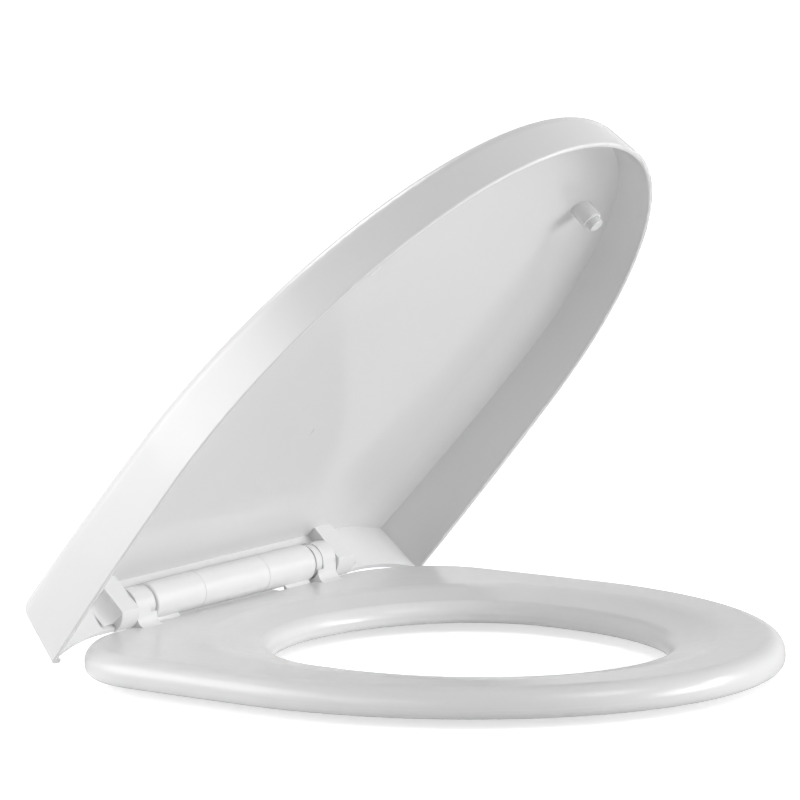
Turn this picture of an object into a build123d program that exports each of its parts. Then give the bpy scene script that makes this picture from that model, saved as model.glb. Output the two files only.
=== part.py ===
from build123d import *
import os

# Toilet seat with a wrap-over lid and a soft-closing barrel hinge, in millimetres.
# The pan's rim is the plane z = 0, and the origin lies midway between the two fixing holes.
# The front points to -Y and the hinge axis runs along X above the origin. The seat is down
# on the pan and the lid stands part open.

# Hinge line
AXIS_HEIGHT = 37.2
LID_ANGLE = 47.2
BARREL_RADIUS = 12.1
BARREL_HALF_LENGTH = 77.0
SLEEVE_HALF_LENGTH = 31.0
SEAM_CHAMFER = 0.4
END_ROUND = 1.6
WASHER_THICKNESS = 1.3
WASHER_RADIUS = 8.5
SIDE_CLEARANCE = 0.1
KNUCKLE_WIDTH = 18.0
KNUCKLE_RADIUS = 12.0
COLLAR_RADIUS = 11.3
COLLAR_WIDTH = 5.5
LUG_GAP = 0.4
LUG_WIDTH = 16.0
LUG_RADIUS = 14.2
LUG_FRONT = 10.5
LUG_EYE_RADIUS = 9.5
LUG_REAR_LOW = 5.0
LUG_REAR_HIGH = 0.5
LUG_ROOT = 1.0
LUG_BLEND = 12.0
LUG_BLEND_RADIUS = 12.0
LUG_BLEND_STEP = 2.0
LUG_BLEND_REAR = 0.0
LUG_BLEND_BELOW_AXIS = 10.2
RUNNING_CLEARANCE = 0.05

# Seat ring: a half ellipse at the front, bowed sides and a straight rear edge
SEAT_HALF_WIDTH = 180.0
SEAT_FRONT = 414.0
SEAT_ELLIPSE_AT = 172.0
SEAT_REAR = 2.0
SEAT_REAR_HALF_WIDTH = 175.6
SEAT_CORNER_RADIUS = 76.0
SEAT_TRIM = 8.7
SEAT_TRIM_ROUND = 0.6
REAR_LIP_HALF_LENGTH = 50.0
REAR_LIP_BELOW_AXIS = 13.6
REAR_LIP_THICKNESS = 3.0
REAR_LIP_REACH = 4.5
REAR_LIP_ROUND = 1.0
SEAT_BOTTOM = 6.0
SEAT_THICKNESS = 19.2
SEAT_TOP_ROUND = 11.0
SEAT_BOTTOM_ROUND = 6.0

# Hole in the ring: two half ellipses joined by short straights, with a dished edge
HOLE_HALF_WIDTH = 107.0
HOLE_FRONT = 340.0
HOLE_REAR = 74.0
HOLE_STRAIGHT_FRONT = 192.0
HOLE_STRAIGHT_REAR = 178.0
DISH_DROP = 6.0
DISH_RUN = 34.0
CREST_ROUND = 60.0
HOLE_TOP_ROUND = 8.0
HOLE_BOTTOM_ROUND = 3.0

# Knuckles on the ring's rear edge
KNUCKLE_FRONT_ROUND = 6.0
KNUCKLE_NECK_DROP = 7.0
KNUCKLE_NECK_ANGLE = 75.0

# Lid: a tray turned over the seat, drawn closed about the hinge axis
LID_HALF_WIDTH = 186.2
LID_FRONT = 428.2
LID_ELLIPSE_AT = 161.5
LID_REAR = 7.2
LID_REAR_HALF_WIDTH = 179.0
LID_CORNER_RADIUS = 5.0
LID_RIM_DROP = 24.2
LID_TOP_REAR = 22.1
LID_TOP_FRONT = 7.4
LID_DRAFT = 8.5
LID_TOP_ROUND = 10.0
LID_PLATE = 4.0
LID_WALL = 3.5
LID_INNER_DRAFT = 18.0
COVE_RUN = 26.0
COVE_DROP = 8.0
COVE_ROUND = 80.0
LID_RIM_ROUND = 1.2
LID_HOLLOW_OVERRUN = 20.0
GATE_MARK_RADIUS = 3.75
GATE_MARK_AT = 129.0
GATE_MARK_DEPTH = 0.3

# Rear opening of the lid, in its closed pose
OPENING_HALF_WIDTH = 105.0
ARCH_END_INSET = 7.0
ARCH_END_BELOW_AXIS = 21.0
ARCH_MID_INSET = 26.7
ARCH_MID_BELOW_AXIS = 15.4
ARCH_FLAT_INSET = 49.7
OPENING_BELOW_AXIS = 12.5
OPENING_ABOVE_AXIS = 12.7
OPENING_DEPTH = 15.0

# Lid bumpers
LID_BUMPER_X = 108.0
LID_BUMPER_AT = 325.0
LID_BUMPER_RADIUS = 4.8
LID_BUMPER_HEIGHT = 5.0
LID_BUMPER_PEG_RADIUS = 2.2
LID_BUMPER_PEG_LENGTH = 4.0
LID_BOSS_RADIUS = 6.8
LID_BOSS_ROOT = 1.0
LID_BUMPER_ROUND = 0.8
REST_GAP = 0.1

# Seat bumpers, standing on the pan's rim
SEAT_BUMPER_LENGTH = 34.0
SEAT_BUMPER_WIDTH = 14.0
SEAT_BUMPER_RECESS = 2.0
SEAT_BUMPER_ROUND = 1.5
REAR_BUMPER_INSET = 40.0
REAR_BUMPER_AT = 105.0
FRONT_BUMPER_X = 76.0
FRONT_BUMPER_AT = 330.0
BUMPER_CLEARANCE = 0.1

# Hinge feet and their fixing inserts
FIXING_SPACING = 130.0
FOOT_LENGTH = 25.0
FOOT_REAR = 10.0
FOOT_FRONT = 8.4
FOOT_HEIGHT = 13.5
FOOT_ROUND = 2.0
WEB_ROOT_FRONT = 6.0
WEB_ROOT_REAR = 4.2
WEB_ROOT = 10.3
WEB_REAR = 6.3
WEB_KNEE_FRONT = 13.0
WEB_KNEE_REAR = 16.2
INSERT_RADIUS = 5.5
INSERT_LENGTH = 12.0
INSERT_RECESS = 0.5
INSERT_BORE_RADIUS = 3.3

# Dampers inside the barrel and their shafts
DAMPER_RADIUS = 8.6
DAMPER_SLACK = 2.0
DAMPER_CLEARANCE = 0.1
BARREL_END_WALL = 3.0
SPIGOT_LENGTH = 6.0
SLEEVE_BORE_RADIUS = 6.5
SHAFT_RADIUS = 4.0
SHAFT_FLAT = 2.8
SHAFT_STEM_RADIUS = 3.0
SHAFT_STEM_LENGTH = 16.0
LUG_HOLE_DEPTH = 12.5
KEY_CLEARANCE = 0.05
BUSH_WALL = 2.0
DAMPER_CHAMFER = 0.6
PRESS_CLEARANCE = 0.02

# Places that follow from the sizes above
SEAT_TOP = SEAT_BOTTOM + SEAT_THICKNESS
KNUCKLE_IN = BARREL_HALF_LENGTH + WASHER_THICKNESS + 2 * SIDE_CLEARANCE
KNUCKLE_OUT = KNUCKLE_IN + KNUCKLE_WIDTH
LUG_IN = KNUCKLE_OUT + LUG_GAP
BARREL_BORE_RADIUS = DAMPER_RADIUS + DAMPER_CLEARANCE
BARREL_BORE_END = BARREL_HALF_LENGTH - BARREL_END_WALL
DAMPER_LENGTH = BARREL_BORE_END - SLEEVE_HALF_LENGTH - SPIGOT_LENGTH - DAMPER_SLACK
SHAFT_END = LUG_IN + LUG_HOLE_DEPTH
BUSH_RADIUS = SHAFT_RADIUS + RUNNING_CLEARANCE + BUSH_WALL
LID_SLOPE = (LID_TOP_REAR - LID_TOP_FRONT) / LID_FRONT
LID_INNER_REAR = LID_TOP_REAR - LID_PLATE
PAD_END = SEAT_TOP + REST_GAP - AXIS_HEIGHT
PAD_SEAT = PAD_END + LID_BUMPER_HEIGHT
LID_BOSS_TOP = LID_INNER_REAR - LID_SLOPE * LID_BUMPER_AT + LID_BOSS_ROOT
ARCH_END = LID_REAR_HALF_WIDTH - ARCH_END_INSET
ARCH_MID = LID_REAR_HALF_WIDTH - ARCH_MID_INSET
ARCH_FLAT = LID_REAR_HALF_WIDTH - ARCH_FLAT_INSET
REAR_BUMPER_X = SEAT_HALF_WIDTH - REAR_BUMPER_INSET
SIDES = {"left": -1, "right": 1}
SEAT_BUMPERS = {
    "left_rear_bumper": (-REAR_BUMPER_X, -REAR_BUMPER_AT, 90),
    "right_rear_bumper": (REAR_BUMPER_X, -REAR_BUMPER_AT, 90),
    "left_front_bumper": (-FRONT_BUMPER_X, -FRONT_BUMPER_AT, -45),
    "right_front_bumper": (FRONT_BUMPER_X, -FRONT_BUMPER_AT, 45),
}
LID_TOP_NORMAL = (0, -LID_SLOPE, 1)
LID_REAR_NORMAL = Vector(0, 1, 0).rotate(Axis.X, LID_DRAFT)
LID_REAR_WALL = Plane((0, LID_REAR - LID_WALL, -LID_RIM_DROP), x_dir=(1, 0, 0), z_dir=LID_REAR_NORMAL)
LID_INNER_PLATE = Plane((0, 0, LID_INNER_REAR), x_dir=(1, 0, 0), z_dir=LID_TOP_NORMAL)
LID_POSE = Location((0, 0, AXIS_HEIGHT), (-LID_ANGLE, 0, 0))

os.makedirs("parts", exist_ok=True)


def plan_outline(half_width, front, ellipse_at, rear, rear_half_width, corner_radius, overrun=0):
    with BuildSketch() as outline:
        with BuildLine():
            nose = EllipticalCenterArc((0, -ellipse_at), half_width, front - ellipse_at, 180, arc_size=180)
            right = TangentArc(nose @ 1, (rear_half_width, rear), tangent=(0, 1))
            left = TangentArc(nose @ 0, (-rear_half_width, rear), tangent=(0, 1))
            if overrun:
                right = Line(right @ 1, right @ 1 + (right % 1) * overrun)
                left = Line(left @ 1, left @ 1 + (left % 1) * overrun)
            Line(right @ 1, left @ 1)
        make_face()
        fillet(outline.vertices().group_by(Axis.Y)[-1], corner_radius)
    return outline.sketch


def keyed_section(radius, flat):
    with BuildSketch() as section:
        Circle(radius)
        Rectangle(2 * radius, 2 * flat, mode=Mode.INTERSECT)
    return section.sketch


# Seat ring, moulded in one with its two hinge knuckles
with BuildPart() as seat_ring:
    with BuildSketch(Plane.XY.offset(SEAT_BOTTOM)):
        add(
            plan_outline(
                SEAT_HALF_WIDTH,
                SEAT_FRONT,
                SEAT_ELLIPSE_AT,
                SEAT_REAR,
                SEAT_REAR_HALF_WIDTH,
                SEAT_CORNER_RADIUS,
            )
        )
    extrude(amount=SEAT_THICKNESS)
    fillet(seat_ring.faces().sort_by(Axis.Z)[-1].edges(), SEAT_TOP_ROUND)
    fillet(seat_ring.faces().sort_by(Axis.Z)[0].edges(), SEAT_BOTTOM_ROUND)
    with BuildSketch(Plane.XY.offset(SEAT_BOTTOM)):
        with BuildLine():
            hole_front = EllipticalCenterArc(
                (0, -HOLE_STRAIGHT_FRONT),
                HOLE_HALF_WIDTH,
                HOLE_FRONT - HOLE_STRAIGHT_FRONT,
                180,
                arc_size=180,
            )
            hole_rear = EllipticalCenterArc(
                (0, -HOLE_STRAIGHT_REAR),
                HOLE_HALF_WIDTH,
                HOLE_STRAIGHT_REAR - HOLE_REAR,
                0,
                arc_size=180,
            )
            Line(hole_front @ 1, hole_rear @ 0)
            Line(hole_rear @ 1, hole_front @ 0)
        make_face()
    extrude(amount=SEAT_THICKNESS, mode=Mode.SUBTRACT)
    top = seat_ring.faces().sort_by(Axis.Z)[-1]
    chamfer(top.inner_wires()[0].edges(), DISH_RUN, DISH_DROP, reference=top)
    crest = seat_ring.faces().sort_by(Axis.Z)[-1].inner_wires()[0]
    fillet(crest.edges(), CREST_ROUND)
    dish_foot = SEAT_TOP - DISH_DROP
    fillet(seat_ring.edges().filter_by_position(Axis.Z, dish_foot - 0.01, dish_foot + 0.01), HOLE_TOP_ROUND)
    fillet(seat_ring.faces().sort_by(Axis.Z)[0].inner_wires()[0].edges(), HOLE_BOTTOM_ROUND)
    # The rear is trimmed straight in front of the barrel
    split(bisect_by=Plane.XZ.offset(SEAT_TRIM), keep=Keep.TOP)
    fillet(seat_ring.faces().sort_by(Axis.Y)[-1].edges().sort_by(Axis.Z)[-1], SEAT_TRIM_ROUND)
    for side in SIDES.values():
        with BuildSketch(Plane.YZ.offset(side * KNUCKLE_IN)):
            with BuildLine():
                eye = CenterArc(
                    (0, AXIS_HEIGHT),
                    KNUCKLE_RADIUS,
                    -KNUCKLE_NECK_ANGLE,
                    KNUCKLE_NECK_ANGLE + 180,
                )
                foot = CenterArc(
                    (-KNUCKLE_RADIUS - KNUCKLE_FRONT_ROUND, SEAT_TOP + KNUCKLE_FRONT_ROUND),
                    KNUCKLE_FRONT_ROUND,
                    0,
                    -90,
                )
                Line(eye @ 1, foot @ 0)
                Polyline(
                    foot @ 1,
                    (-KNUCKLE_RADIUS - KNUCKLE_FRONT_ROUND, SEAT_BOTTOM + SEAT_BOTTOM_ROUND),
                    (-SEAT_TRIM, SEAT_BOTTOM + SEAT_BOTTOM_ROUND),
                    (-SEAT_TRIM, SEAT_TOP - KNUCKLE_NECK_DROP),
                    eye @ 0,
                )
            make_face()
        extrude(amount=side * KNUCKLE_WIDTH)
        # The inner end is turned down to a collar that clears the deck
        with BuildSketch(Plane.YZ.offset(side * KNUCKLE_IN)):
            with Locations((0, AXIS_HEIGHT)):
                Circle(AXIS_HEIGHT - SEAT_TOP + SEAT_TRIM_ROUND)
                Circle(COLLAR_RADIUS, mode=Mode.SUBTRACT)
        extrude(amount=side * COLLAR_WIDTH, mode=Mode.SUBTRACT)
    # A lip on the rear edge runs on under the barrel
    with BuildSketch(Plane.XY.offset(AXIS_HEIGHT - REAR_LIP_BELOW_AXIS)):
        with Locations((0, (REAR_LIP_REACH - SEAT_TRIM - KNUCKLE_FRONT_ROUND) / 2)):
            Rectangle(2 * REAR_LIP_HALF_LENGTH, REAR_LIP_REACH + SEAT_TRIM + KNUCKLE_FRONT_ROUND)
    extrude(amount=-REAR_LIP_THICKNESS)
    fillet(seat_ring.edges(Select.LAST).filter_by(Axis.X).sort_by(Axis.Y)[-2:], REAR_LIP_ROUND)
    with BuildSketch(Plane.YZ.offset(-KNUCKLE_IN)):
        with Locations((0, AXIS_HEIGHT)):
            Circle(BUSH_RADIUS + PRESS_CLEARANCE)
    extrude(amount=-KNUCKLE_WIDTH, mode=Mode.SUBTRACT)
    with BuildSketch(Plane.YZ.offset(KNUCKLE_IN)):
        with Locations((0, AXIS_HEIGHT)):
            add(keyed_section(SHAFT_RADIUS + KEY_CLEARANCE, SHAFT_FLAT + KEY_CLEARANCE))
    extrude(amount=KNUCKLE_WIDTH, mode=Mode.SUBTRACT)
    with BuildSketch(Plane.XY.offset(SEAT_BOTTOM)):
        for x, y, turn in SEAT_BUMPERS.values():
            with Locations(Location((x, y), turn)):
                SlotOverall(
                    SEAT_BUMPER_LENGTH + 2 * BUMPER_CLEARANCE,
                    SEAT_BUMPER_WIDTH + 2 * BUMPER_CLEARANCE,
                )
    extrude(amount=SEAT_BUMPER_RECESS, mode=Mode.SUBTRACT)

seat_ring.part.label = "seat_ring"
export_step(seat_ring.part, "parts/seat_ring.step")

# Bumper pads pressed into the underside of the ring
for name, (x, y, turn) in SEAT_BUMPERS.items():
    with BuildPart() as seat_bumper:
        with BuildSketch():
            with Locations(Location((x, y), turn)):
                SlotOverall(SEAT_BUMPER_LENGTH, SEAT_BUMPER_WIDTH)
        extrude(amount=SEAT_BOTTOM + SEAT_BUMPER_RECESS)
        fillet(seat_bumper.faces().sort_by(Axis.Z)[0].edges(), SEAT_BUMPER_ROUND)
    seat_bumper.part.label = name
    export_step(seat_bumper.part, f"parts/{name}.step")

# Hollow under the lid's plate, coved at the sides and front down to a sharp corner with the wall
with BuildPart() as lid_hollow:
    with BuildSketch(Plane.XY.offset(-LID_RIM_DROP)):
        add(
            plan_outline(
                LID_HALF_WIDTH - LID_WALL,
                LID_FRONT - LID_WALL,
                LID_ELLIPSE_AT,
                LID_REAR,
                LID_REAR_HALF_WIDTH - LID_WALL,
                LID_CORNER_RADIUS,
                LID_HOLLOW_OVERRUN,
            )
        )
    extrude(amount=LID_RIM_DROP + LID_TOP_REAR, taper=LID_INNER_DRAFT)
    split(bisect_by=LID_REAR_WALL, keep=Keep.BOTTOM)
    split(bisect_by=LID_INNER_PLATE, keep=Keep.BOTTOM)
    plate = lid_hollow.faces().sort_by(Axis.Z)[-1]
    chamfer(plate.edges().sort_by(Axis.Y)[:-1], COVE_RUN, COVE_DROP, reference=plate)
    plate = lid_hollow.faces().sort_by(Axis.Z)[-1]
    fillet(plate.edges().sort_by(Axis.Y)[:-1], COVE_ROUND)

# Opening in the lid's rear wall: square between the lugs and arched outside them
with BuildPart() as rear_opening:
    with BuildSketch(Plane.XZ.offset(-LID_REAR - LID_WALL)):
        with BuildLine():
            right = ThreePointArc(
                (ARCH_END, -ARCH_END_BELOW_AXIS),
                (ARCH_MID, -ARCH_MID_BELOW_AXIS),
                (ARCH_FLAT, -OPENING_BELOW_AXIS),
            )
            left = ThreePointArc(
                (-ARCH_END, -ARCH_END_BELOW_AXIS),
                (-ARCH_MID, -ARCH_MID_BELOW_AXIS),
                (-ARCH_FLAT, -OPENING_BELOW_AXIS),
            )
            Polyline(
                right @ 1,
                (OPENING_HALF_WIDTH, -OPENING_BELOW_AXIS),
                (OPENING_HALF_WIDTH, OPENING_ABOVE_AXIS),
                (-OPENING_HALF_WIDTH, OPENING_ABOVE_AXIS),
                (-OPENING_HALF_WIDTH, -OPENING_BELOW_AXIS),
                left @ 1,
            )
            Polyline(
                left @ 0,
                (-ARCH_END, -LID_RIM_DROP - LID_WALL),
                (ARCH_END, -LID_RIM_DROP - LID_WALL),
                right @ 0,
            )
        make_face()
    extrude(amount=OPENING_DEPTH)

# Lid, drawn closed about the hinge axis
with BuildPart() as lid_closed:
    with BuildSketch(Plane.XY.offset(-LID_RIM_DROP)):
        add(
            plan_outline(
                LID_HALF_WIDTH,
                LID_FRONT,
                LID_ELLIPSE_AT,
                LID_REAR,
                LID_REAR_HALF_WIDTH,
                LID_CORNER_RADIUS,
            )
        )
    extrude(amount=LID_RIM_DROP + LID_TOP_REAR + LID_PLATE, taper=LID_DRAFT)
    split(bisect_by=Plane((0, 0, LID_TOP_REAR), x_dir=(1, 0, 0), z_dir=LID_TOP_NORMAL), keep=Keep.BOTTOM)
    fillet(lid_closed.faces().sort_by(Axis.Z)[-1].edges(), LID_TOP_ROUND)
    add(lid_hollow.part, mode=Mode.SUBTRACT)
    fillet(lid_closed.faces().sort_by(Axis.Z)[0].edges(), LID_RIM_ROUND)
    add(rear_opening.part, mode=Mode.SUBTRACT)
    # Lugs that carry the hinge shafts
    for side in SIDES.values():
        with BuildSketch(Plane.YZ.offset(side * LUG_IN)):
            Circle(LUG_RADIUS)
            with Locations((-LUG_FRONT / 2, (LID_INNER_REAR + LUG_ROOT) / 2)):
                Rectangle(LUG_FRONT, LID_INNER_REAR + LUG_ROOT)
            with BuildLine():
                Polyline(
                    (-LUG_FRONT, -LUG_RADIUS),
                    (LUG_REAR_LOW, -LUG_RADIUS),
                    (LUG_REAR_HIGH, LID_INNER_REAR + LUG_ROOT),
                    (-LUG_FRONT, LID_INNER_REAR + LUG_ROOT),
                    close=True,
                )
            make_face(mode=Mode.INTERSECT)
            Circle(LUG_EYE_RADIUS)
        extrude(amount=side * LUG_WIDTH)
        with BuildSketch(Plane.XY.offset(-LUG_BLEND_BELOW_AXIS)):
            with BuildLine():
                blend = RadiusArc(
                    (side * (LUG_IN + LUG_WIDTH), -LUG_FRONT + LUG_BLEND_STEP),
                    (side * (LUG_IN + LUG_WIDTH + LUG_BLEND), LUG_BLEND_REAR),
                    side * LUG_BLEND_RADIUS,
                )
                Polyline(
                    blend @ 1,
                    (side * (LUG_IN + LUG_WIDTH / 2), LUG_BLEND_REAR),
                    (side * (LUG_IN + LUG_WIDTH / 2), -LUG_FRONT + LUG_BLEND_STEP),
                    blend @ 0,
                )
            make_face()
        extrude(amount=LUG_BLEND_BELOW_AXIS + LID_INNER_REAR + LUG_ROOT)
    with BuildSketch(Plane.YZ.offset(-LUG_IN)):
        add(keyed_section(SHAFT_RADIUS + KEY_CLEARANCE, SHAFT_FLAT + KEY_CLEARANCE))
    extrude(amount=-LUG_HOLE_DEPTH, mode=Mode.SUBTRACT)
    with BuildSketch(Plane.YZ.offset(LUG_IN)):
        Circle(BUSH_RADIUS + PRESS_CLEARANCE)
    extrude(amount=LUG_HOLE_DEPTH, mode=Mode.SUBTRACT)
    # Bosses for the lid's bumper pads
    for side in SIDES.values():
        with BuildSketch(Plane.XY.offset(PAD_SEAT)):
            with Locations((side * LID_BUMPER_X, -LID_BUMPER_AT)):
                Circle(LID_BOSS_RADIUS)
        extrude(amount=LID_BOSS_TOP - PAD_SEAT)
        with BuildSketch(Plane.XY.offset(PAD_SEAT)):
            with Locations((side * LID_BUMPER_X, -LID_BUMPER_AT)):
                Circle(LID_BUMPER_PEG_RADIUS + PRESS_CLEARANCE)
        extrude(amount=LID_BUMPER_PEG_LENGTH, mode=Mode.SUBTRACT)
    # Witness mark of the mould's gate
    with BuildSketch(LID_INNER_PLATE):
        with Locations((0, -GATE_MARK_AT)):
            Circle(GATE_MARK_RADIUS)
    extrude(amount=GATE_MARK_DEPTH, mode=Mode.SUBTRACT)

with BuildPart() as lid:
    with Locations(LID_POSE):
        add(lid_closed.part)
lid.part.label = "lid"
export_step(lid.part, "parts/lid.step")

# Bumper pads of the lid, each with a peg pressed into its boss
for name, side in SIDES.items():
    with BuildPart() as pad_closed:
        with BuildSketch(Plane.XY.offset(PAD_END)):
            with Locations((side * LID_BUMPER_X, -LID_BUMPER_AT)):
                Circle(LID_BUMPER_RADIUS)
        extrude(amount=LID_BUMPER_HEIGHT)
        fillet(pad_closed.faces().sort_by(Axis.Z)[0].edges(), LID_BUMPER_ROUND)
        with BuildSketch(Plane.XY.offset(PAD_SEAT)):
            with Locations((side * LID_BUMPER_X, -LID_BUMPER_AT)):
                Circle(LID_BUMPER_PEG_RADIUS)
        extrude(amount=LID_BUMPER_PEG_LENGTH - PRESS_CLEARANCE)
    with BuildPart() as lid_bumper:
        with Locations(LID_POSE):
            add(pad_closed.part)
    lid_bumper.part.label = f"{name}_lid_bumper"
    export_step(lid_bumper.part, f"parts/{name}_lid_bumper.step")

# Hinge bodies: a barrel, a web in front of it and a foot on the pan, moulded in one
for name, side in SIDES.items():
    with BuildPart() as hinge_body:
        with BuildSketch(Plane.YZ.offset(side * SLEEVE_HALF_LENGTH)):
            with Locations((0, AXIS_HEIGHT)):
                Circle(BARREL_RADIUS)
        extrude(amount=side * (BARREL_HALF_LENGTH - SLEEVE_HALF_LENGTH))
        ends = hinge_body.faces().sort_by(Axis.X)
        chamfer(ends[0 if side > 0 else -1].edges(), SEAM_CHAMFER)
        fillet(hinge_body.faces().sort_by(Axis.X)[-1 if side > 0 else 0].edges(), END_ROUND)
        with BuildSketch(Plane.YZ.offset(side * (BARREL_HALF_LENGTH - END_ROUND))):
            with BuildLine():
                Polyline(
                    (-WEB_ROOT_FRONT, AXIS_HEIGHT - WEB_ROOT),
                    (-FOOT_FRONT, AXIS_HEIGHT - WEB_KNEE_FRONT),
                    (-FOOT_FRONT, FOOT_HEIGHT / 2),
                    (-WEB_REAR, FOOT_HEIGHT / 2),
                    (-WEB_REAR, AXIS_HEIGHT - WEB_KNEE_REAR),
                    (-WEB_ROOT_REAR, AXIS_HEIGHT - WEB_ROOT),
                    close=True,
                )
            make_face()
        extrude(amount=-side * (FOOT_LENGTH - END_ROUND))
        with BuildSketch():
            with Locations((side * (BARREL_HALF_LENGTH - FOOT_LENGTH / 2), (FOOT_REAR - FOOT_FRONT) / 2)):
                RectangleRounded(FOOT_LENGTH, FOOT_REAR + FOOT_FRONT, FOOT_ROUND)
        extrude(amount=FOOT_HEIGHT)
        with BuildSketch(Plane.YZ.offset(side * SLEEVE_HALF_LENGTH)):
            with Locations((0, AXIS_HEIGHT)):
                Circle(BARREL_BORE_RADIUS)
        extrude(amount=side * (BARREL_BORE_END - SLEEVE_HALF_LENGTH), mode=Mode.SUBTRACT)
        with BuildSketch(Plane.YZ.offset(side * BARREL_BORE_END)):
            with Locations((0, AXIS_HEIGHT)):
                Circle(SHAFT_RADIUS + RUNNING_CLEARANCE)
        extrude(amount=side * BARREL_END_WALL, mode=Mode.SUBTRACT)
        with BuildSketch():
            with Locations((side * FIXING_SPACING / 2, 0)):
                Circle(INSERT_RADIUS + PRESS_CLEARANCE)
        extrude(amount=INSERT_RECESS + INSERT_LENGTH, mode=Mode.SUBTRACT)
    hinge_body.part.label = f"{name}_hinge_body"
    export_step(hinge_body.part, f"parts/{name}_hinge_body.step")

    with BuildPart() as threaded_insert:
        with BuildSketch(Plane.XY.offset(INSERT_RECESS)):
            with Locations((side * FIXING_SPACING / 2, 0)):
                Circle(INSERT_RADIUS)
                Circle(INSERT_BORE_RADIUS, mode=Mode.SUBTRACT)
        extrude(amount=INSERT_LENGTH)
    threaded_insert.part.label = f"{name}_threaded_insert"
    export_step(threaded_insert.part, f"parts/{name}_threaded_insert.step")

# Sleeve between the two barrels, with a spigot into each
with BuildPart() as barrel_sleeve:
    with BuildSketch(Plane.YZ):
        with Locations((0, AXIS_HEIGHT)):
            Circle(BARREL_RADIUS)
    extrude(amount=SLEEVE_HALF_LENGTH, both=True)
    chamfer(barrel_sleeve.edges().filter_by(GeomType.CIRCLE), SEAM_CHAMFER)
    with BuildSketch(Plane.YZ):
        with Locations((0, AXIS_HEIGHT)):
            Circle(BARREL_BORE_RADIUS - PRESS_CLEARANCE)
    extrude(amount=SLEEVE_HALF_LENGTH + SPIGOT_LENGTH, both=True)
    with BuildSketch(Plane.YZ):
        with Locations((0, AXIS_HEIGHT)):
            Circle(SLEEVE_BORE_RADIUS)
    extrude(amount=SLEEVE_HALF_LENGTH + SPIGOT_LENGTH, both=True, mode=Mode.SUBTRACT)
barrel_sleeve.part.label = "barrel_sleeve"
export_step(barrel_sleeve.part, "parts/barrel_sleeve.step")

# Rotary dampers, each held in its barrel against the end wall
for name, side in SIDES.items():
    with BuildPart() as damper:
        with BuildSketch(Plane.YZ.offset(side * BARREL_BORE_END)):
            with Locations((0, AXIS_HEIGHT)):
                Circle(DAMPER_RADIUS)
        extrude(amount=-side * DAMPER_LENGTH)
        chamfer(damper.edges().filter_by(GeomType.CIRCLE), DAMPER_CHAMFER)
        with BuildSketch(Plane.YZ.offset(side * BARREL_BORE_END)):
            with Locations((0, AXIS_HEIGHT)):
                Circle(SHAFT_STEM_RADIUS + RUNNING_CLEARANCE)
        extrude(amount=-side * (SHAFT_STEM_LENGTH + SIDE_CLEARANCE), mode=Mode.SUBTRACT)
    damper.part.label = f"{name}_damper"
    export_step(damper.part, f"parts/{name}_damper.step")

    with BuildPart() as washer:
        with BuildSketch(Plane.YZ.offset(side * (BARREL_HALF_LENGTH + SIDE_CLEARANCE))):
            with Locations((0, AXIS_HEIGHT)):
                Circle(WASHER_RADIUS)
                Circle(SHAFT_RADIUS + RUNNING_CLEARANCE, mode=Mode.SUBTRACT)
        extrude(amount=side * WASHER_THICKNESS)
    washer.part.label = f"{name}_washer"
    export_step(washer.part, f"parts/{name}_washer.step")

# Shafts: the left one turns with the lid and the right one with the seat
KEYED_SPANS = {"left": (LUG_IN, SHAFT_END, -LID_ANGLE), "right": (KNUCKLE_IN, KNUCKLE_OUT, 0)}
for name, side in SIDES.items():
    with BuildPart() as damper_shaft:
        with BuildSketch(Plane.YZ.offset(side * (BARREL_BORE_END + SIDE_CLEARANCE))):
            with Locations((0, AXIS_HEIGHT)):
                Circle(SHAFT_STEM_RADIUS)
        extrude(amount=-side * SHAFT_STEM_LENGTH)
        with BuildSketch(Plane.YZ.offset(side * (BARREL_BORE_END + SIDE_CLEARANCE))):
            with Locations((0, AXIS_HEIGHT)):
                Circle(SHAFT_RADIUS)
        extrude(amount=side * (SHAFT_END - BARREL_BORE_END - 2 * SIDE_CLEARANCE))
        start, stop, turn = KEYED_SPANS[name]
        with BuildSketch(Plane.YZ.offset(side * start)):
            with Locations((0, AXIS_HEIGHT)):
                Circle(SHAFT_RADIUS)
                add(keyed_section(SHAFT_RADIUS, SHAFT_FLAT), rotation=turn, mode=Mode.SUBTRACT)
        extrude(amount=side * (stop - start), mode=Mode.SUBTRACT)
    damper_shaft.part.label = f"{name}_damper_shaft"
    export_step(damper_shaft.part, f"parts/{name}_damper_shaft.step")

# Bushes for the free ends of the shafts
BUSH_SPANS = {
    "left_knuckle_bush": (-KNUCKLE_IN, -KNUCKLE_WIDTH),
    "right_lug_bush": (LUG_IN, LUG_HOLE_DEPTH),
}
for name, (start, length) in BUSH_SPANS.items():
    with BuildPart() as bush:
        with BuildSketch(Plane.YZ.offset(start)):
            with Locations((0, AXIS_HEIGHT)):
                Circle(BUSH_RADIUS)
                Circle(SHAFT_RADIUS + RUNNING_CLEARANCE, mode=Mode.SUBTRACT)
        extrude(amount=length)
    bush.part.label = name
    export_step(bush.part, f"parts/{name}.step")
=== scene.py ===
import math

import bpy
from mathutils import Matrix, Vector

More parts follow.
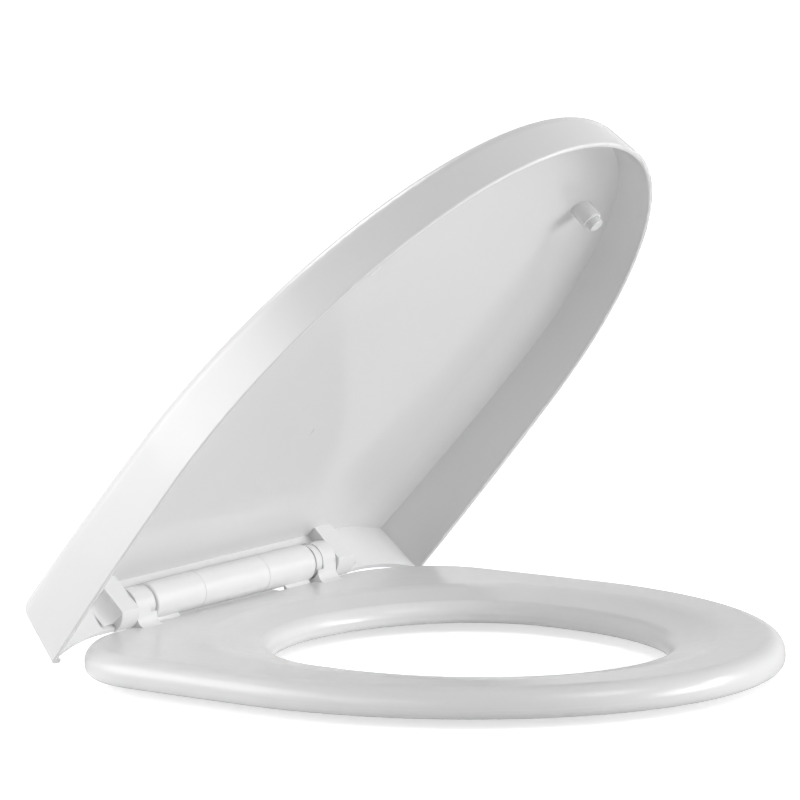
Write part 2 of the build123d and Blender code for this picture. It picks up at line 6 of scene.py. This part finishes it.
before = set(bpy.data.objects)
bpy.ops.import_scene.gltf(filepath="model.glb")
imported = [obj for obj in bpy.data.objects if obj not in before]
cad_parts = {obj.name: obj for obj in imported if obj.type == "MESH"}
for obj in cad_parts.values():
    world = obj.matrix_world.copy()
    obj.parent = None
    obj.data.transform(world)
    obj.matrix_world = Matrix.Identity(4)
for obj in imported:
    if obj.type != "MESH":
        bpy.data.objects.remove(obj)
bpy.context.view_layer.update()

# Hinge bodies and the sleeve between them: the fixed barrel across the back of the pan, with a
# foot under each end. Injection-moulded in white polypropylene, softer in gloss than the lid and
# the ring, with a faint flow grain left along the barrel.
HINGE_WHITE = (0.86, 0.86, 0.86, 1.0)
HINGE_SHADE = (0.85, 0.85, 0.852, 1.0)
CLOUD_THIN, CLOUD_THICK = 0.3, 0.7


def span(nodes, links, value, start, stop, low=0.0, high=1.0, ease="LINEAR"):
    """Turns a value that runs from start to stop into one that runs from low to high."""
    ramp = nodes.new("ShaderNodeMapRange")
    ramp.interpolation_type = ease
    ramp.inputs["From Min"].default_value = start
    ramp.inputs["From Max"].default_value = stop
    ramp.inputs["To Min"].default_value = low
    ramp.inputs["To Max"].default_value = high
    links.new(value, ramp.inputs["Value"])
    return ramp.outputs["Result"]


def mottle(nodes, links, scale, stretch=(1.0, 1.0, 1.0), detail=3.0, low=0.0, high=1.0):
    """A cloudy value between low and high, with about scale blotches to the metre of the piece."""
    lie = nodes.new("ShaderNodeMapping")
    lie.inputs["Scale"].default_value = stretch
    links.new(nodes.new("ShaderNodeTexCoord").outputs["Object"], lie.inputs["Vector"])
    cloud = nodes.new("ShaderNodeTexNoise")
    cloud.inputs["Scale"].default_value = scale
    cloud.inputs["Detail"].default_value = detail
    links.new(lie.outputs["Vector"], cloud.inputs["Vector"])
    return span(nodes, links, cloud.outputs["Fac"], CLOUD_THIN, CLOUD_THICK, low, high)


def make_finish(name, shades, clouds, roughness, grain, relief, depth, strength, body=None):
    """A finish in clouds of two shades, with a grain in its gloss and a fine relief on its skin.

    clouds, grain and relief say how each is mottled, depth is the relief's in metres, and body
    gives what is the same all through the material.
    """
    finish = bpy.data.materials.new(name)
    finish.use_nodes = True
    nodes, links = finish.node_tree.nodes, finish.node_tree.links
    shader = nodes["Principled BSDF"]
    for socket, value in (body or {}).items():
        shader.inputs[socket].default_value = value
    tint = nodes.new("ShaderNodeMix")
    tint.data_type = "RGBA"
    tint.inputs["A"].default_value, tint.inputs["B"].default_value = shades
    links.new(mottle(nodes, links, **clouds), tint.inputs["Factor"])
    links.new(tint.outputs["Result"], shader.inputs["Base Color"])
    low, high = roughness
    links.new(mottle(nodes, links, low=low, high=high, **grain), shader.inputs["Roughness"])
    dimple = nodes.new("ShaderNodeBump")
    dimple.inputs["Strength"].default_value = strength
    dimple.inputs["Distance"].default_value = depth
    links.new(mottle(nodes, links, **relief), dimple.inputs["Height"])
    links.new(dimple.outputs["Normal"], shader.inputs["Normal"])
    return finish


def coat(piece_names, finish):
    """Puts a finish on pieces of the model."""
    for piece_name in piece_names:
        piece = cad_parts[piece_name]
        piece.data.materials.clear()
        piece.data.materials.append(finish)


hinge_white = make_finish(
    "hinge_white",
    shades=(HINGE_WHITE, HINGE_SHADE),
    clouds={"scale": 40.0},
    roughness=(0.30, 0.35),
    grain={"scale": 260.0, "stretch": (0.3, 1.0, 1.0)},
    relief={"scale": 900.0, "stretch": (0.5, 1.0, 1.0)},
    depth=0.000006,
    strength=0.25,
)
coat(["left_hinge_body", "right_hinge_body", "barrel_sleeve"], hinge_white)

# Threaded inserts: brass bushes moulded into the feet for the fixing studs. They are turned from
# bar, so fine tool rings run round them, and the metal has dulled a little unevenly.
BRASS_BRIGHT = (0.72, 0.52, 0.24, 1.0)
BRASS_DULL = (0.56, 0.40, 0.19, 1.0)
insert_brass = make_finish(
    "insert_brass",
    shades=(BRASS_BRIGHT, BRASS_DULL),
    clouds={"scale": 220.0},
    roughness=(0.25, 0.42),
    grain={"scale": 500.0, "stretch": (1.0, 1.0, 6.0)},
    relief={"scale": 60.0, "stretch": (1.0, 1.0, 40.0)},
    depth=0.00005,
    strength=0.5,
    body={"Metallic": 1.0},
)
coat(["left_threaded_insert", "right_threaded_insert"], insert_brass)

# Rotary dampers: closed cartridges of black acetal, pushed into the barrels from the middle. The
# moulds are spark-eroded, which leaves an even, fine matt skin.
DAMPER_BLACK = (0.020, 0.020, 0.021, 1.0)
DAMPER_GREY = (0.034, 0.034, 0.035, 1.0)
damper_black = make_finish(
    "damper_black",
    shades=(DAMPER_BLACK, DAMPER_GREY),
    clouds={"scale": 150.0},
    roughness=(0.42, 0.60),
    grain={"scale": 900.0},
    relief={"scale": 2500.0},
    depth=0.00003,
    strength=0.5,
)
coat(["left_damper", "right_damper"], damper_black)

# Damper shafts: stainless steel, turned along the hinge line and milled with two flats where the
# left one drives the lid and the right one the ring.
STEEL_BRIGHT = (0.62, 0.63, 0.64, 1.0)
STEEL_GREY = (0.50, 0.51, 0.52, 1.0)
shaft_steel = make_finish(
    "shaft_steel",
    shades=(STEEL_BRIGHT, STEEL_GREY),
    clouds={"scale": 180.0},
    roughness=(0.18, 0.32),
    grain={"scale": 400.0, "stretch": (8.0, 1.0, 1.0)},
    relief={"scale": 70.0, "stretch": (50.0, 1.0, 1.0)},
    depth=0.00002,
    strength=0.5,
    body={"Metallic": 1.0},
)
coat(["left_damper_shaft", "right_damper_shaft"], shaft_steel)

# Thrust washers and shaft bushes: natural nylon, moulded and pressed in, slightly cloudy and
# creamier than the white mouldings around them.
NYLON_PALE = (0.78, 0.765, 0.71, 1.0)
NYLON_CREAM = (0.72, 0.70, 0.635, 1.0)
bush_nylon = make_finish(
    "bush_nylon",
    shades=(NYLON_PALE, NYLON_CREAM),
    clouds={"scale": 240.0},
    roughness=(0.38, 0.50),
    grain={"scale": 800.0},
    relief={"scale": 1500.0},
    depth=0.00002,
    strength=0.4,
    body={"Subsurface Weight": 0.15, "Subsurface Radius": (0.002, 0.0018, 0.0012)},
)
coat(["left_washer", "right_washer", "left_knuckle_bush", "right_lug_bush"], bush_nylon)

# Seat ring with its two hinge knuckles: one thick moulding of white thermoset, pressed in a hot
# tool and buffed by hand, which leaves the deck and rim a shade softer in gloss than the lid.
RING_WHITE = (0.825, 0.825, 0.825, 1.0)
RING_SHADE = (0.81, 0.81, 0.812, 1.0)
ring_white = make_finish(
    "ring_white",
    shades=(RING_WHITE, RING_SHADE),
    clouds={"scale": 9.0},
    roughness=(0.18, 0.22),
    grain={"scale": 130.0, "detail": 6.0},
    relief={"scale": 38.0, "detail": 1.0},
    depth=0.00003,
    strength=0.15,
)
coat(["seat_ring"], ring_white)

# Lid with its hinge lugs and bumper bosses: the same white thermoset, pressed between polished
# steel faces, so the skin is a hard mirror gloss. Uneven cooling leaves the slightest ripple.
LID_WHITE = (0.82, 0.82, 0.82, 1.0)
LID_SHADE = (0.805, 0.805, 0.807, 1.0)
lid_white = make_finish(
    "lid_white",
    shades=(LID_WHITE, LID_SHADE),
    clouds={"scale": 9.0},
    roughness=(0.085, 0.115),
    grain={"scale": 130.0, "detail": 6.0},
    relief={"scale": 38.0, "detail": 1.0},
    depth=0.00003,
    strength=0.15,
)
coat(["lid"], lid_white)

# Bumper pads: four under the ring and two on the lid's bosses, each pressed into its seat. Soft,
# cloudy, nearly colourless rubber with a fine matt skin.
RUBBER_PALE = (0.80, 0.805, 0.80, 1.0)
RUBBER_CLOUD = (0.73, 0.74, 0.745, 1.0)
bumper_rubber = make_finish(
    "bumper_rubber",
    shades=(RUBBER_PALE, RUBBER_CLOUD),
    clouds={"scale": 320.0},
    roughness=(0.30, 0.42),
    grain={"scale": 700.0},
    relief={"scale": 1800.0},
    depth=0.00002,
    strength=0.4,
    body={"Subsurface Weight": 0.3, "Subsurface Radius": (0.004, 0.004, 0.004)},
)
coat(
    [f"{side}_{end}_bumper" for side in ("left", "right") for end in ("rear", "front", "lid")],
    bumper_rubber,
)

# Floor: a plain pale sheet, laid just under the feet and pads. The lamps light it, so it keeps the
# seat's shadow, and a glow that lights nothing turns it white further out. The glow is seen by
# the camera and through clear pieces, and more weakly in gloss.
FLOOR_WIDTH, FLOOR_DROP = 60.0, 0.0002
FLOOR_PALE = (0.88, 0.88, 0.88, 1.0)
FLOOR_ROUGHNESS = 0.9
FLOOR_NEAR, FLOOR_FAR = 0.45, 1.2
FLOOR_GLOW_NEAR, FLOOR_GLOW_FAR = 0.64, 1.0
FLOOR_IN_GLOSS = 0.4


def reckon(nodes, links, operation, first, second):
    """Works two values into one. Each is a node's output or a plain number."""
    sum_node = nodes.new("ShaderNodeMath")
    sum_node.operation = operation
    for slot, value in zip(sum_node.inputs, (first, second)):
        if isinstance(value, float):
            slot.default_value = value
        else:
            links.new(value, slot)
    return sum_node.outputs["Value"]


def seen(nodes, links, in_gloss):
    """1 for a ray from the camera or through a clear piece, in_gloss for a reflection, else 0."""
    ray = nodes.new("ShaderNodeLightPath")
    mirrored = reckon(nodes, links, "MULTIPLY", ray.outputs["Is Glossy Ray"], in_gloss)
    not_direct = reckon(nodes, links, "MAXIMUM", mirrored, ray.outputs["Is Transmission Ray"])
    return reckon(nodes, links, "MAXIMUM", ray.outputs["Is Camera Ray"], not_direct)


bpy.ops.mesh.primitive_plane_add(size=FLOOR_WIDTH, location=(0.0, 0.0, -FLOOR_DROP))
floor = bpy.context.object
floor.name = "floor"
floor_pale = bpy.data.materials.new("floor_pale")
floor_pale.use_nodes = True
nodes, links = floor_pale.node_tree.nodes, floor_pale.node_tree.links
sheet = nodes["Principled BSDF"]
sheet.inputs["Base Color"].default_value = FLOOR_PALE
sheet.inputs["Roughness"].default_value = FLOOR_ROUGHNESS
sheet.inputs["Specular IOR Level"].default_value = 0.0
reach = nodes.new("ShaderNodeVectorMath")
reach.operation = "LENGTH"
links.new(nodes.new("ShaderNodeTexCoord").outputs["Object"], reach.inputs[0])
rise = span(
    nodes, links, reach.outputs["Value"], FLOOR_NEAR, FLOOR_FAR, FLOOR_GLOW_NEAR, FLOOR_GLOW_FAR
)
glow_level = reckon(nodes, links, "MULTIPLY", seen(nodes, links, FLOOR_IN_GLOSS), rise)
glow = nodes.new("ShaderNodeEmission")
links.new(glow_level, glow.inputs["Strength"])
lit_sheet = nodes.new("ShaderNodeAddShader")
links.new(sheet.outputs["BSDF"], lit_sheet.inputs[0])
links.new(glow.outputs["Emission"], lit_sheet.inputs[1])
links.new(lit_sheet.outputs["Shader"], nodes["Material Output"].inputs["Surface"])
floor.data.materials.append(floor_pale)

# Light: a white room that is seen behind the seat and in its gloss, but lights it only a little,
# and large soft boxes that fade towards their edges, as cloth-fronted ones do.
ROOM_WHITE = (1.0, 1.0, 1.0, 1.0)
ROOM_LEVEL, ROOM_SEEN_LEVEL = 0.08, 1.0
BOX_AIM = Vector((0.0, -0.18, 0.1))
BOX_MIDDLE = (0.5, 0.5, 0.0)
BOX_EDGE, BOX_CORE = 0.5, 0.1
studio = bpy.data.worlds.new("studio")
bpy.context.scene.world = studio
studio.use_nodes = True
nodes, links = studio.node_tree.nodes, studio.node_tree.links
room = nodes["Background"]
room.inputs["Color"].default_value = ROOM_WHITE
room_level = span(nodes, links, seen(nodes, links, 1.0), 0.0, 1.0, ROOM_LEVEL, ROOM_SEEN_LEVEL)
links.new(room_level, room.inputs["Strength"])


def outward(bearing, height):
    """The way out from the seat at a bearing from the front and a height from level, in radians."""
    level = math.cos(height)
    return Vector((math.sin(bearing) * level, -math.cos(bearing) * level, math.sin(height)))


def soft_box(name, bearing, height, distance, size, power):
    """A soft box turned to the seat. Bearing and height are as for outward, but in degrees."""
    lamp = bpy.data.lights.new(name, "AREA")
    lamp.shape = "RECTANGLE"
    lamp.size, lamp.size_y = size
    lamp.energy = power
    lamp.use_nodes = True
    nodes, links = lamp.node_tree.nodes, lamp.node_tree.links
    from_middle = nodes.new("ShaderNodeVectorMath")
    from_middle.operation = "DISTANCE"
    from_middle.inputs[1].default_value = BOX_MIDDLE
    links.new(nodes.new("ShaderNodeNewGeometry").outputs["Parametric"], from_middle.inputs[0])
    fade = span(nodes, links, from_middle.outputs["Value"], BOX_EDGE, BOX_CORE, ease="SMOOTHSTEP")
    links.new(fade, nodes["Emission"].inputs["Strength"])
    holder = bpy.data.objects.new(name, lamp)
    bpy.context.scene.collection.objects.link(holder)
    away = outward(math.radians(bearing), math.radians(height))
    holder.location = BOX_AIM + away * distance
    holder.rotation_euler = away.to_track_quat("Z", "Y").to_euler()


soft_box("right_panel", bearing=28.0, height=10.0, distance=2.6, size=(2.8, 1.6), power=62.0)
soft_box("right_low_panel", bearing=16.0, height=4.0, distance=2.6, size=(2.4, 1.0), power=70.0)
soft_box("right_key", bearing=37.0, height=22.0, distance=2.6, size=(0.7, 0.5), power=18.0)
soft_box("front_top_panel", bearing=-18.0, height=42.0, distance=2.3, size=(1.6, 1.6), power=36.0)
soft_box("left_panel", bearing=-95.0, height=12.0, distance=1.5, size=(1.2, 1.0), power=8.0)
soft_box("rear_left_panel", bearing=-134.0, height=15.0, distance=1.6, size=(2.2, 1.7), power=46.0)
soft_box("back_panel", bearing=176.0, height=46.0, distance=2.6, size=(2.0, 2.0), power=60.0)

# Camera: a long lens at the front left, a little above the deck. It is turned off the seat's
# middle, not shifted, by as many pixels as the seat stands off the middle of the picture.
PICTURE_WIDTH, SENSOR_WIDTH, FAR_CLIP = 800.0, 36.0, 100.0
AZIMUTH, ELEVATION, ROLL = math.radians(-50.03), math.radians(10.27), math.radians(-2.08)
TARGET, DISTANCE = Vector((0.0, -0.18, 0.08)), 4.0
FOCAL_PIXELS, RIGHT_PIXELS, UP_PIXELS = 6400.0, -37.3, 141.0
back = outward(AZIMUTH, ELEVATION)
level_right = Vector((math.cos(AZIMUTH), math.sin(AZIMUTH), 0.0))
level_up = back.cross(level_right)
right = level_right * math.cos(ROLL) + level_up * math.sin(ROLL)
up = level_up * math.cos(ROLL) - level_right * math.sin(ROLL)
look = (-back * FOCAL_PIXELS + right * RIGHT_PIXELS + up * UP_PIXELS).normalized()
picture_right = (right - look * right.dot(look)).normalized()
picture_up = picture_right.cross(look)
lens = bpy.data.cameras.new("photo_camera")
lens.sensor_width = SENSOR_WIDTH
lens.lens = FOCAL_PIXELS / PICTURE_WIDTH * SENSOR_WIDTH
lens.clip_end = FAR_CLIP
camera = bpy.data.objects.new("photo_camera", lens)
bpy.context.scene.collection.objects.link(camera)
camera.matrix_world = Matrix((picture_right, picture_up, -look)).transposed().to_4x4()
camera.location = TARGET + back * DISTANCE
bpy.context.scene.camera = camera
bpy.context.scene.view_settings.view_transform = "Standard"
